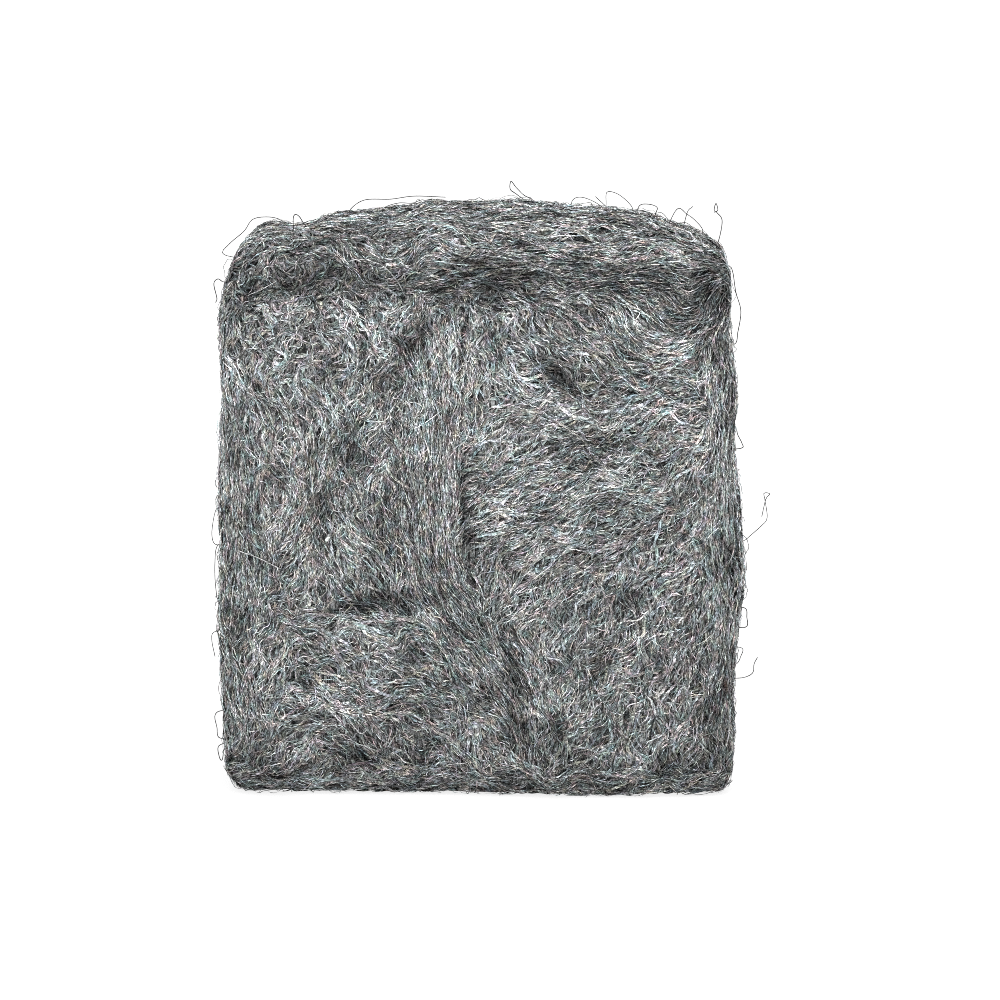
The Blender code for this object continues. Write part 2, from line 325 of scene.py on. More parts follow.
fineMesh = fineBody()
finePoints = meshPoints(fineMesh)
fineNumbers = meshTriangles(fineMesh)
triangles = finePoints[fineNumbers]
triangleCross = np.cross(triangles[:, 1] - triangles[:, 0], triangles[:, 2] - triangles[:, 0])
triangleArea = np.linalg.norm(triangleCross, axis=1) / 2
triangleNormal = unit(triangleCross)
surface = BVHTree.FromPolygons(finePoints.tolist(), fineNumbers.tolist())
faceHeadings = {
    "front": (0, -1, 0),
    "back": (0, 1, 0),
    "left": (-1, 0, 0),
    "right": (1, 0, 0),
    "crown": (0, 0, 1),
    "base": (0, 0, -1),
}
faceOfTriangle = np.argmax(triangleNormal @ np.array(list(faceHeadings.values())).T, axis=1)
print("surface ready:", len(triangles), "triangles")


def ontoSurface(points):
    found = [surface.find_nearest(Vector(p))[:2] for p in points.tolist()]
    places = np.array([place[:] for place, normal in found])
    normals = np.array([normal[:] for place, normal in found])
    return places, normals


def scatter(face, count, dice, avoid, calmOnly):
    # random places on one face, fewer in its dark places, or in its combed stretches alone
    index = np.flatnonzero(faceOfTriangle == list(faceHeadings).index(face))
    middles = triangles[index].mean(1)
    share = triangleArea[index] * (1 - avoid * placeStrength(middles, hollowsWithPaintedShade))
    if calmOnly:
        share = share * placeStrength(middles, calmPlaces)
    chosen = dice.choice(index, count, p=share / share.sum())
    a, b = dice.uniform(size=(2, count))
    folded = a + b > 1
    a[folded], b[folded] = 1 - a[folded], 1 - b[folded]
    corner = triangles[chosen]
    places = corner[:, 0] + a[:, None] * (corner[:, 1] - corner[:, 0])
    return places + b[:, None] * (corner[:, 2] - corner[:, 0])


def turned(along, normals, turn):
    turn = turn[:, None]
    return along * np.cos(turn) + np.cross(normals, along) * np.sin(turn)


walk = {
    "driftKept": 0.8,          # share of a strand's drift that lasts to the next step
    "driftStep": 0.10,         # new drift at each step, in radians
    "layPull": 0.65,           # how far a step follows the lay, and how far its own heading
    "ownWay": 0.35,
}


def tracedLines(starts, bends, curls, steps, stride, dice):
    # walks each strand over the surface: it holds to the lay, and a curl turns away from it steadily
    places, normals = ontoSurface(starts)
    heading = layDirections(places, normals) * dice.choice([-1, 1], len(starts))[:, None]
    heading = turned(heading, normals, bends - curls * steps / 2)
    line, up = [places], [normals]
    drift = np.zeros(len(starts))
    for step in range(steps - 1):
        along = layDirections(places, normals)
        onward = turned(heading, normals, -curls * (step - steps / 2))
        along *= np.where((along * onward).sum(1) < 0, -1, 1)[:, None]
        drift = walk["driftKept"] * drift + dice.normal(0, walk["driftStep"], len(starts))
        along = turned(along, normals, bends + curls * (step - steps / 2) + drift)
        heading = unit(walk["layPull"] * along + walk["ownWay"] * heading)
        places, normals = ontoSurface(places + heading * stride[:, None])
        line.append(places)
        up.append(normals)
    return np.stack(line, 1), np.stack(up, 1)


crimp = {
    "waves": ((0.65, 1.0), (0.45, 0.55)),      # size and pitch of the long and the short wave
    "swell": 0.5,              # how far the waves grow and shrink along a strand
    "swellPitch": 2.7,
    "swellTurns": 3,
}


def kinks(count, steps, stride, lengths, size, dice):
    # waver of a strand: two waves of random pitch, as crimped wire has
    distance = np.arange(steps)[None, :] * stride[:, None]
    total = np.zeros((count, steps))
    for share, pitchShare in crimp["waves"]:
        pitch = dice.uniform(*lengths, count)[:, None] * pitchShare
        phase = dice.uniform(0, 2 * np.pi, count)[:, None]
        slow = np.sin(distance / (pitch * crimp["swellPitch"]) + phase * crimp["swellTurns"])
        total += share * (1 + crimp["swell"] * slow) * np.sin(2 * np.pi * distance / pitch + phase)
    return total * size[:, None]


habit = {
    "calmStraight": 0.75,      # how far a combed stretch takes bends and curls out
    "calmSmooth": 0.6,         # and kinks
    "strideSpread": (0.75, 1.25),
    "kinkSpread": 0.35,
    "liftShare": 0.6,          # kinks up and down, as a share of those sideways
    "endPower": 8,             # how late the ends dip
}


def strandPaths(plan, dice):
    # wisps of strands that start near each other and share a bend
    repeat = plan["inWisp"]
    wisps = plan["strands"] // repeat
    count = wisps * repeat
    middles = scatter(plan["face"], wisps, dice, plan["avoid"], plan["calmOnly"])
    places, normals = ontoSurface(middles)
    along = layDirections(places, normals)
    side = np.cross(normals, along)
    spread = np.repeat(side, repeat, 0) * dice.normal(0, plan["wispWidth"], (count, 1))
    spread += np.repeat(along, repeat, 0) * dice.normal(0, plan["wispLength"], (count, 1))
    starts = np.repeat(places, repeat, 0) + spread
    calm = np.repeat(placeStrength(places, calmPlaces), repeat)
    lively = 1 - habit["calmStraight"] * calm
    bends = np.repeat(dice.normal(0, plan["wispBend"], wisps), repeat)
    bends = (bends + dice.normal(0, plan["bend"], count)) * lively
    curls = dice.normal(0, plan["curl"], count) * lively
    stride = plan["stride"] * dice.uniform(*habit["strideSpread"], count)
    line, up = tracedLines(starts, bends, curls, plan["steps"], stride, dice)
    tangent = unit(np.gradient(line, axis=1))
    across = unit(np.cross(tangent, up))
    depth = np.repeat(dice.uniform(*plan["depth"], wisps), repeat)
    depth = depth + dice.normal(0, plan["depthSpread"], count)
    steps, kinkLength = plan["steps"], plan["kinkLength"]
    size = plan["kink"] * dice.lognormal(0, habit["kinkSpread"], count)
    size = size * (1 - habit["calmSmooth"] * calm)
    waver = kinks(count, steps, stride, kinkLength, size, dice)
    lift = kinks(count, steps, stride, kinkLength, size * habit["liftShare"], dice)
    weave = kinks(count, steps, stride, plan["weaveLength"], np.full(count, plan["weave"]), dice)
    along = np.linspace(-1, 1, steps)[None, :]
    height = depth[:, None] + lift + weave
    height = height - plan["endDip"] * along ** habit["endPower"]       # both ends dip into the mat
    height += dice.uniform(*plan["arch"], count)[:, None] * np.cos(along * np.pi / 2)
    height -= plan["sink"] * placeStrength(line, hollowsWithPaintedShade)
    return line + across * waver[..., None] + up * height[..., None], up, height


toning = {
    # painted shade: strands lying deeper in the mat are painted darker, down to darkestDepth
    "darkestDepth": 0.0030,
    "paintedDepthShade": 0.75,        # how much darker a strand is at that depth
    "paintedHollowShade": 0.45,
    "paintedLightGain": 0.6,
    "drift": 0.15,             # slow change of brightness over the block
    "driftLength": 0.012,
    "warmth": 0.052,           # from teal to rose, with its shares of red, green and blue
    "warmthLength": 0.0030,
    "warmthShares": (1.0, -0.4, -0.5),
    "straw": 0.026,            # from blue to straw yellow
    "strawLength": 0.0034,
    "strawShares": (0.3, 0.5, -1.0),
    "speck": 0.03,
    "limits": (0.01, 0.95),
}


def strandTones(path, height, plan, dice):
    # brightness and tint of each point, from the strand's own finish, with painted shade and light from where it
    # lies
    count, steps = path.shape[:2]
    finish = dice.lognormal(0, plan["toneSpread"], count)[:, None]
    # painted glints: each point of a strand brighter or darker at random, as short glinting dashes
    paintedGlint = dice.lognormal(0, plan["paintedGlint"], (count, steps))
    # painted shade for strands lying deeper in the mat
    sunk = np.clip(-height / toning["darkestDepth"], 0, 1)
    tone = plan["tone"] * finish * paintedGlint * (1 - toning["paintedDepthShade"] * sunk)
    # painted shade in the hollows
    tone = tone * (1 - toning["paintedHollowShade"] * placeStrength(path, hollowsWithPaintedShade))
    # painted light in the bright patches
    tone = tone * (1 + toning["paintedLightGain"] * placeStrength(path, paintedLightPlaces))
    tone = tone * (1 + toning["drift"] * waveNoise(path, toning["driftLength"], 21))
    # painted shade and light by height
    levels, shades = zip(*paintedShadeByHeight)
    tone = tone * np.interp(path[..., 2] / lay["height"], levels, shades)
    tints = np.array(tintShades)
    tint = tints[dice.integers(0, len(tints), count)][:, None, :]
    warmth = toning["warmth"] * waveNoise(path, toning["warmthLength"], 31)
    straw = toning["straw"] * waveNoise(path, toning["strawLength"], 32)
    oxide = warmth[..., None] * toning["warmthShares"] + straw[..., None] * toning["strawShares"]
    tint = tint + oxide + toning["speck"] * dice.normal(0, 1, (count, steps, 3))
    return np.clip(tone[..., None] * tint, *toning["limits"])


# painted shade and light up the block, as share of the height and brightness factor: darker at the hem and at
# the top
paintedShadeByHeight = [
    (0.0, 0.44),
    (0.035, 0.66),
    (0.08, 0.84),
    (0.15, 0.93),
    (0.45, 1.0),
    (0.75, 1.08),
    (0.86, 1.0),
    (0.92, 0.82),
    (1.0, 0.78),
]

tintShades = [
    (0.98, 1.00, 1.00),
    (0.95, 1.01, 1.01),
    (0.91, 1.03, 1.03),
    (1.04, 0.97, 0.99),
    (1.02, 1.02, 0.94),
    (0.95, 0.99, 1.05),
    (0.98, 1.01, 0.99),
    (0.96, 1.01, 1.01),
]


shaving = {
    "tipLength": 4,            # length of a pointed end, in half widths
    "floorGap": 0.00005,       # no strand goes lower than this
    "sideGap": 0.02,           # space beside a strand's faces in its map cell
    "cellMargin": 0.04,
    "cellShare": 0.92,
}


def ringLayout(steps, corners, size):
    # faces of one strand as vertex numbers, their sizes, and their places in its map cell
    faces, sizes, cells = [], [], []
    rise = 1 / (steps + 1)
    gap = shaving["sideGap"]
    sides = 3 if corners == 3 else 1

    def ring(step, corner):
        return 1 + step * corners + corner % corners

    for corner in range(sides):
        low, mid, high = corner / sides + gap, (corner + 0.5) / sides, (corner + 1) / sides - gap
        faces += [0, ring(0, corner + 1), ring(0, corner)]
        cells += [(mid, 0.0), (high, rise), (low, rise)]
        sizes.append(3)
        for step in range(steps - 1):
            faces += [ring(step, corner), ring(step, corner + 1)]
            faces += [ring(step + 1, corner + 1), ring(step + 1, corner)]
            v0, v1 = (step + 1) * rise, (step + 2) * rise
            cells += [(low, v0), (high, v0), (high, v1), (low, v1)]
            sizes.append(4)
        faces += [size - 1, ring(steps - 1, corner), ring(steps - 1, corner + 1)]
        cells += [(mid, 1.0), (low, 1 - rise), (high, 1 - rise)]
        sizes.append(3)
    return np.array(faces), np.array(sizes), np.array(cells)


def strandObject(name, path, up, radius, tones, plan, dice, material):
    # flat shavings (two corners) or three-sided wires, twisted along, with pointed ends
    count, steps = path.shape[:2]
    corners = plan["corners"]
    tangent = unit(np.gradient(path, axis=1))
    first = unit(up - (up * tangent).sum(-1, keepdims=True) * tangent)
    second = np.cross(tangent, first)
    twist = np.cumsum(dice.normal(0, plan["twist"], (count, steps)), 1)
    twist += math.pi / 2 + dice.normal(0, plan["tilt"], (count, 1))
    rings = []
    for corner in range(corners):
        angle = twist + corner * 2 * np.pi / corners
        out = first * np.cos(angle)[..., None] + second * np.sin(angle)[..., None]
        rings.append(path + out * radius[:, None, None])
    rings = np.stack(rings, 2)                                   # strand, step, corner, xyz
    startTip = path[:, :1] - tangent[:, :1] * radius[:, None, None] * shaving["tipLength"]
    endTip = path[:, -1:] + tangent[:, -1:] * radius[:, None, None] * shaving["tipLength"]
    points = np.concatenate([startTip, rings.reshape(count, -1, 3), endTip], 1)
    points[..., 2] = np.maximum(points[..., 2], shaving["floorGap"])
    size = points.shape[1]
    faces, sizes, cells = ringLayout(steps, corners, size)
    loops = (faces[None, :] + (np.arange(count) * size)[:, None]).ravel()
    sizes = np.tile(sizes, count)
    mesh = bpy.data.meshes.new(name)
    mesh.vertices.add(count * size)
    mesh.vertices.foreach_set("co", points.astype(np.float32).ravel())
    mesh.loops.add(len(loops))
    mesh.loops.foreach_set("vertex_index", loops.astype(np.int32))
    mesh.polygons.add(len(sizes))
    starts = np.concatenate([[0], np.cumsum(sizes)[:-1]])
    mesh.polygons.foreach_set("loop_start", starts.astype(np.int32))
    grid = math.ceil(math.sqrt(count))
    place = np.stack([np.arange(count) % grid, np.arange(count) // grid], 1) / grid
    uv = place[:, None, :] + (shaving["cellMargin"] + shaving["cellShare"] * cells[None]) / grid
    mesh.update()
    mesh.uv_layers.new(name="OFBake")
    mesh.uv_layers["OFBake"].data.foreach_set("uv", uv.astype(np.float32).ravel())
    shade = np.ones((count, size, 4))
    shade[:, 1:-1, :3] = np.repeat(tones, corners, 1)
    shade[:, 0, :3] = tones[:, 0]
    shade[:, -1, :3] = tones[:, -1]
    attribute = mesh.color_attributes.new("strandTone", "FLOAT_COLOR", "POINT")
    attribute.data.foreach_set("color", shade.astype(np.float32).ravel())
    addThreadPlaces(mesh, path, radius, size, corners, dice)
    mesh.validate()
    mesh.materials.append(material)
    piece = bpy.data.objects.new(name, mesh)
    bpy.context.scene.collection.objects.link(piece)
    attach(piece, "root")
    return piece


def addThreadPlaces(mesh, path, radius, size, corners, dice):
    # where each point is across and along its own strand, in thread widths and lengths of the painted glinting
    # dashes
    count, steps = path.shape[:2]
    stepLength = np.linalg.norm(np.diff(path, axis=1), axis=2)
    along = np.concatenate([np.zeros((count, 1)), np.cumsum(stepLength, 1)], 1)
    across = np.linspace(0, 2 * radius * (corners - 1), corners, axis=1)
    places = np.zeros((count, size, 3))
    body = np.zeros((count, steps, corners, 3))
    body[..., 0] = across[:, None, :] / strandFinish["threadWidth"]
    body[..., 1] = along[:, :, None] / strandFinish["glintDashLength"]
    places[:, 1:-1] = body.reshape(count, -1, 3)
    places[:, 0, 0] = places[:, -1, 0] = radius / strandFinish["threadWidth"]
    places[:, -1, 1] = along[:, -1] / strandFinish["glintDashLength"]
    places += dice.uniform(0, strandFinish["noiseReach"], (count, 1, 3))
    attribute = mesh.attributes.new("threadPlace", "FLOAT_VECTOR", "POINT")
    attribute.data.foreach_set("vector", places.astype(np.float32).ravel())


# Finishes
strandFinish = {
    "threadWidth": 0.00024,    # a broad shaving shows threads side by side
    # the thread noise is stretched along a strand into painted glinting dashes of this length
    "glintDashLength": 0.0009,
    "noiseReach": 400,         # each strand has its own place in the noise
    "waviness": 0.6,
    "threadRange": (0.41, 0.61),
    # base colour factors: thread pattern across a shaving, painted glinting dashes along it
    "threadAndGlintShades": (0.28, 1.60),
    "dullRange": (0.7, 0.3),
    "roughness": (0.35, 0.55),
    "reliefDepth": 0.00014,
}


def addNode(tree, kind, **values):
    node = tree.nodes.new(kind)
    for key, value in values.items():
        setattr(node, key, value)
    return node


def stretched(tree, source, fromRange, toRange):
    node = addNode(tree, "ShaderNodeMapRange")
    node.inputs["From Min"].default_value, node.inputs["From Max"].default_value = fromRange
    node.inputs["To Min"].default_value, node.inputs["To Max"].default_value = toRange
    tree.links.new(source, node.inputs["Value"])
    return node.outputs["Result"]


def leadStrand():
    material = bpy.data.materials.new("leadStrand")
    material.use_nodes = True
    tree = material.node_tree
    shader = tree.nodes["Principled BSDF"]
    shader.inputs["Metallic"].default_value = 1.0
    place = addNode(tree, "ShaderNodeAttribute", attribute_name="threadPlace")
    tone = addNode(tree, "ShaderNodeAttribute", attribute_name="strandTone")
    thread = addNode(tree, "ShaderNodeTexNoise")
    thread.inputs["Scale"].default_value = 1.0
    thread.inputs["Detail"].default_value = 1.0
    thread.inputs["Distortion"].default_value = strandFinish["waviness"]
    tree.links.new(place.outputs["Vector"], thread.inputs["Vector"])
    colour = addNode(tree, "ShaderNodeVectorMath", operation="SCALE")
    shape = thread.outputs["Fac"]
    # base colour: threads across a shaving, and painted glinting dashes along it
    contrast = stretched(tree, shape, strandFinish["threadRange"], strandFinish["threadAndGlintShades"])
    tree.links.new(tone.outputs["Color"], colour.inputs[0])
    tree.links.new(contrast, colour.inputs["Scale"])
    tree.links.new(colour.outputs["Vector"], shader.inputs["Base Color"])
    dull = stretched(tree, shape, strandFinish["dullRange"], strandFinish["roughness"])
    tree.links.new(dull, shader.inputs["Roughness"])
    relief = addNode(tree, "ShaderNodeBump")
    relief.inputs["Distance"].default_value = strandFinish["reliefDepth"]
    tree.links.new(shape, relief.inputs["Height"])
    tree.links.new(relief.outputs["Normal"], shader.inputs["Normal"])
    return material


coreFinish = {
    # dark: painted shade between the strands
    "dark": (0.035, 0.036, 0.036, 1.0),
    "light": (0.46, 0.47, 0.47, 1.0),
    "darkAt": 0.44,
    "lightAt": 0.62,
    "threadScale": 2600.0,
    "threadDetail": 3.0,
    "waviness": 0.6,
    "stretch": 0.10,           # threads run upright, and level where the block faces up
    "roughness": 0.5,
    "reliefDepth": 0.0004,
}


def paintedShadeDepths():
    # what shows between the strands: dark painted shade, with paler threads
    material = bpy.data.materials.new("paintedShadeDepths")
    material.use_nodes = True
    tree = material.node_tree
    shader = tree.nodes["Principled BSDF"]
    shader.inputs["Metallic"].default_value = 1.0
    shader.inputs["Roughness"].default_value = coreFinish["roughness"]
    place = addNode(tree, "ShaderNodeTexCoord")
    threads = []
    stretch = coreFinish["stretch"]
    for scale in ((1.0, 1.0, stretch), (stretch, 1.0, 1.0)):
        mapping = addNode(tree, "ShaderNodeMapping")
        mapping.inputs["Scale"].default_value = scale
        thread = addNode(tree, "ShaderNodeTexNoise")
        thread.inputs["Scale"].default_value = coreFinish["threadScale"]
        thread.inputs["Detail"].default_value = coreFinish["threadDetail"]
        thread.inputs["Distortion"].default_value = coreFinish["waviness"]
        tree.links.new(place.outputs["Object"], mapping.inputs["Vector"])
        tree.links.new(mapping.outputs["Vector"], thread.inputs["Vector"])
        threads.append(thread)
    facing = addNode(tree, "ShaderNodeNewGeometry")
    split = addNode(tree, "ShaderNodeSeparateXYZ")
    steep = addNode(tree, "ShaderNodeMath", operation="ABSOLUTE")
    mix = addNode(tree, "ShaderNodeMix")
    tree.links.new(facing.outputs["Normal"], split.inputs["Vector"])
    tree.links.new(split.outputs["Z"], steep.inputs[0])
    tree.links.new(steep.outputs["Value"], mix.inputs["Factor"])
    tree.links.new(threads[0].outputs["Fac"], mix.inputs["A"])
    tree.links.new(threads[1].outputs["Fac"], mix.inputs["B"])
    ramp = addNode(tree, "ShaderNodeValToRGB")
    ramp.color_ramp.elements[0].position = coreFinish["darkAt"]
    ramp.color_ramp.elements[0].color = coreFinish["dark"]
    ramp.color_ramp.elements[1].position = coreFinish["lightAt"]
    ramp.color_ramp.elements[1].color = coreFinish["light"]
    tree.links.new(mix.outputs["Result"], ramp.inputs["Fac"])
    tree.links.new(ramp.outputs["Color"], shader.inputs["Base Color"])
    relief = addNode(tree, "ShaderNodeBump")
    relief.inputs["Distance"].default_value = coreFinish["reliefDepth"]
    tree.links.new(mix.outputs["Result"], relief.inputs["Height"])
    tree.links.new(relief.outputs["Normal"], shader.inputs["Normal"])
    return material


# Core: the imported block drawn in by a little, under the strands
core = {
    "inset": 0.0013,
    "unevenness": 0.0002,
    "unevenLength": 0.004,
    "darkInset": 0.0012,       # further in under the dark places
    "floorGap": 0.0004,
}


def makeCore():
    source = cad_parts["wool_bundle"]
    mesh = source.data.copy()
    mesh.name = "woolCore"
    places = meshPoints(mesh)
    nearest, normals = ontoSurface(places)
    inward = core["inset"] + core["unevenness"] * waveNoise(places, core["unevenLength"], 41)
    inward += core["darkInset"] * placeStrength(places, hollowsWithPaintedShade)
    moved = nearest - normals * inward[:, None]
    moved[:, 2] = np.maximum(moved[:, 2], core["floorGap"])
    mesh.vertices.foreach_set("co", moved.astype(np.float32).ravel())
    mesh.materials.clear()
    mesh.materials.append(paintedShadeDepths())
    piece = bpy.data.objects.new("woolCore", mesh)
    bpy.context.scene.collection.objects.link(piece)
    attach(piece, "root")
    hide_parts("wool_bundle")


makeCore()
print("core made")

# Strands, one plan for each piece. Lengths are in metres.
common = {
    "face": "front",
    "corners": 2,              # 2 is a flat shaving, 3 a wire
    "inWisp": 3,
    "steps": 17,
    "stride": 0.0009,
    "wispWidth": 0.0012,
    "wispLength": 0.004,
    "wispBend": 0.32,
    "bend": 0.32,
    "curl": 0.04,              # steady turn at each step, in radians
    "avoid": 0.25,
    "calmOnly": False,
    "radius": 0.00010,         # half the width of a shaving
    "tilt": 1.0,               # how far a shaving is turned on its edge, in radians
    "twist": 0.4,              # turn at each step
    "depth": (-0.0007, 0.0001),
    "depthSpread": 0.0002,
    "kink": 0.00015,
    "kinkLength": (0.0028, 0.0060),
    "weave": 0.00032,
    "weaveLength": (0.005, 0.014),
    "arch": (0.0, 0.0),
    "endDip": 0.0012,
    "sink": 0.0008,
    "tone": 0.465,
    "toneSpread": 0.14,
    # painted glints along each strand
    "paintedGlint": 0.24,
    "radiusSpread": (0.7, 1.3),
}

# what a kind of strand changes in the common plan
broad = dict(inWisp=1, steps=10, stride=0.0017, radius=0.00036, tilt=0.45, twist=0.20,
             depth=(-0.0011, -0.0004), weave=0.0002, kink=0.0002, kinkLength=(0.006, 0.012),
             endDip=0.0006, avoid=0.0, tone=0.38)
slim = dict(broad, steps=9, stride=0.0018, radius=0.00029, tone=0.36)
felted = dict(inWisp=1, steps=14, radius=0.00008, depth=(-0.0002, 0.0002), tone=0.49)
spare = dict(steps=12, stride=0.00125, inWisp=2)      # fewer, longer steps for the faces out of view
curly = dict(inWisp=2, steps=20, stride=0.0008, depth=(-0.0003, 0.0002), kink=0.00020,
             kinkLength=(0.0026, 0.0050), curl=0.07, avoid=0.5)
combed = dict(steps=24, stride=0.0015, depth=(-0.0004, 0.0001), bend=0.06, wispBend=0.05,
              curl=0.003, kink=0.00012, weave=0.0002, calmOnly=True)
fuzz = dict(corners=3, inWisp=1, steps=16, stride=0.0007, depth=(-0.0012, -0.0007),
            arch=(0.0007, 0.0024), curl=0.16, kink=0.0003, radius=0.00010, tone=0.24, sink=0.0)

strandPlans = {
    "frontBed": dict(broad, strands=6000),
    "frontLocks": dict(strands=5300),
    "frontFelt": dict(felted, strands=1800),
    "frontCombed": dict(combed, strands=1500),
    "frontCurls": dict(curly, strands=1900, radius=0.00009, tone=0.47),
    "frontFuzz": dict(fuzz, strands=80),
    "backBed": dict(slim, face="back", strands=4400),
    "backLocks": dict(spare, face="back", strands=4900),
    "backFuzz": dict(fuzz, face="back", strands=70),
    "leftBed": dict(slim, face="left", strands=1800),
    "leftLocks": dict(spare, face="left", strands=1800),
    "leftFuzz": dict(fuzz, face="left", strands=35),
    "rightBed": dict(slim, face="right", strands=1800),
    "rightLocks": dict(spare, face="right", strands=1800),
    "rightFuzz": dict(fuzz, face="right", strands=35),
    "crownBed": dict(slim, face="crown", strands=1400),
    "crownLocks": dict(spare, face="crown", strands=2600, bend=0.12, wispBend=0.10, curl=0.015,
                       kink=0.00010, endDip=0.0010, tone=0.46, paintedGlint=0.35),
    "crownFuzz": dict(fuzz, face="crown", strands=90),
    "underside": dict(slim, face="base", strands=600, depth=(-0.0008, -0.0003)),
}
firstSeed = 100                # each piece has the next seed


def makeStrands():
    material = leadStrand()
    for number, (name, changes) in enumerate(strandPlans.items()):
        plan = {**common, **changes}
        dice = np.random.default_rng(firstSeed + number)
        path, up, height = strandPaths(plan, dice)
        tones = strandTones(path, height, plan, dice)
        radius = plan["radius"] * dice.uniform(*plan["radiusSpread"], len(path))
        piece = strandObject(name, path, up, radius, tones, plan, dice, material)
        print(name, "made:", len(path), "strands,", len(piece.data.polygons), "faces")
    return material


strandMaterial = makeStrands()

# Single wires: what they share
looseWire = {
    "corners": 3,
    "steps": 40,
    "radius": 0.00016,
    "radiusSpread": (0.85, 1.15),
    "twist": 0.0,
    "tilt": 0.0,
    "rootDepth": 0.0025,       # how far an end runs back into the mat
    "sway": 0.0012,            # how far a wire leaves its plane, to and fro
    "swayTurn": 2.1,
    "lift": 0.0006,            # height of a lying wire over the front
    "frontPlane": -0.03,
    "farPlane": -1.0,
    "curveSteps": 12,
    "toneSpread": 0.15,
    "toneLimits": (0.02, 0.9),
}

# Loose ends stand off the block. Each has the upright plane it lies in, which of its ends run back
# into the mat, and its route as places in the camera's 1000 x 1000 view
looseEnds = {
    "crownArc": (0.010, "start", [(349, 211), (364, 200), (391, 199), (414, 196), (445, 197)]),
    "lowCrownArc": (0.010, "both", [(384, 208), (398, 203), (412, 203), (424, 200)]),
    "cornerArc": (
        0.002,
        "both",
        [(223, 254), (229, 244), (244, 231), (253, 219), (271, 217), (284, 222), (290, 233)],
    ),
    "cornerLoop": (
        -0.004,
        "both",
        [(293, 223), (294, 215), (299, 216), (305, 225), (315, 236), (317, 248)],
    ),
    "leftHook": (0.0, "start", [(224, 282), (218, 279), (214, 284), (217, 298), (216, 302)]),
    "doubleHook": (
        0.010,
        "both",
        [(526, 202), (516, 194), (510, 189), (511, 181), (516, 187), (524, 195), (532, 200)],
    ),
    "crownBow": (0.010, "both", [(572, 201), (580, 197), (593, 201), (604, 209)]),
    "crownSpike": (0.010, "end", [(596, 197), (608, 209)]),
    "crownHoop": (0.010, "both", [(606, 204), (607, 192), (618, 194), (629, 203), (633, 210)]),
    "lowHoop": (0.008, "both", [(639, 206), (648, 204), (657, 207), (656, 213)]),
    "rightArc": (0.004, "both", [(677, 209), (687, 214), (696, 221), (703, 231)]),
    "rightSpike": (0.004, "start", [(687, 213), (692, 207)]),
    "tallLoop": (
        0.0,
        "start",
        [(718, 242), (722, 221), (717, 213), (714, 210), (716, 203), (718, 210), (715, 212)],
    ),
    "rightBow": (0.0, "both", [(731, 267), (736, 292), (741, 311), (738, 332), (735, 344)]),
    "rightNick": (0.0, "both", [(735, 427), (738, 435), (742, 443), (742, 448)]),
    "rightHook": (
        0.0,
        "start",
        [
            (743, 541),
            (752, 534),
            (761, 526),
            (767, 518),
            (765, 501),
            (764, 493),
            (770, 494),
            (766, 499),
            (762, 516),
        ],
    ),
    "rightStub": (0.0, "both", [(745, 608), (747, 617), (746, 627)]),
    "lowRightHook": (0.0, "start", [(739, 678), (748, 676), (753, 672), (754, 664), (757, 658)]),
    "lowRightNick": (0.0, "both", [(742, 648), (741, 656), (736, 664)]),
    "leftLoop": (0.0, "both", [(219, 507), (215, 513), (212, 532), (214, 543), (221, 545)]),
    "leftBow": (0.0, "both", [(218, 545), (215, 564), (216, 589), (220, 603)]),
    "leftCurl": (0.0, "start", [(221, 631), (213, 633), (212, 641), (215, 656)]),
    "footLoop": (0.0, "both", [(220, 711), (215, 716), (217, 727), (220, 738)]),
    "footHoop": (0.0, "both", [(220, 745), (219, 755), (222, 760), (226, 745)]),
}

# Pale wires lie on the front
paleWires = {
    "footVee": [(338, 712), (347, 716), (355, 727), (361, 733), (367, 729)],
    "leftSpar": [(240, 550), (258, 557), (280, 568)],
    "footDash": [(447, 764), (457, 763), (467, 762)],
    "footRing": [(449, 715), (451, 711), (456, 712), (458, 717), (455, 722), (450, 721), (449, 716)],
    "cornerSpar": [(249, 296), (262, 290), (276, 281)],
    "browArc": [(348, 262), (364, 260), (384, 267), (398, 281), (404, 291)],
    "creaseRay": [(483, 487), (500, 478), (520, 473)],
    "lowCreaseRay": [(486, 520), (503, 512), (522, 513)],
}


def smoothRoute(knots, steps):
    # a smooth curve through the knots, cut into even steps
    knots = np.array([tuple(knot) for knot in knots])
    padded = np.concatenate([2 * knots[:1] - knots[1:2], knots, 2 * knots[-1:] - knots[-2:-1]])
    pieces = []
    t = np.linspace(0, 1, looseWire["curveSteps"], endpoint=False)[:, None]
    for a, b, c, d in zip(padded, padded[1:], padded[2:], padded[3:]):
        square = 2 * a - 5 * b + 4 * c - d
        cube = 3 * b - a - 3 * c + d
        pieces.append(0.5 * (2 * b + (c - a) * t + square * t**2 + cube * t**3))
    curve = np.concatenate(pieces + [knots[-1:]])
    length = np.concatenate([[0], np.cumsum(np.linalg.norm(np.diff(curve, axis=0), axis=1))])
    even = np.linspace(0, length[-1], steps)
    return np.stack([np.interp(even, length, curve[:, axis]) for axis in range(3)], 1)


def rootOf(knot):
    place, normal = surface.find_nearest(knot)[:2]
    return place - normal * looseWire["rootDepth"]


def looseRoute(planeY, rooted, pixels):
    knots = []
    for number, pixel in enumerate(pixels):
        sway = looseWire["sway"] * math.sin(looseWire["swayTurn"] * number)
        knots.append(sightPlace(pixel, planeY + sway))
    if rooted in ("both", "start"):
        knots.insert(0, rootOf(knots[0]))
    if rooted in ("both", "end"):
        knots.append(rootOf(knots[-1]))
    return smoothRoute(knots, looseWire["steps"])


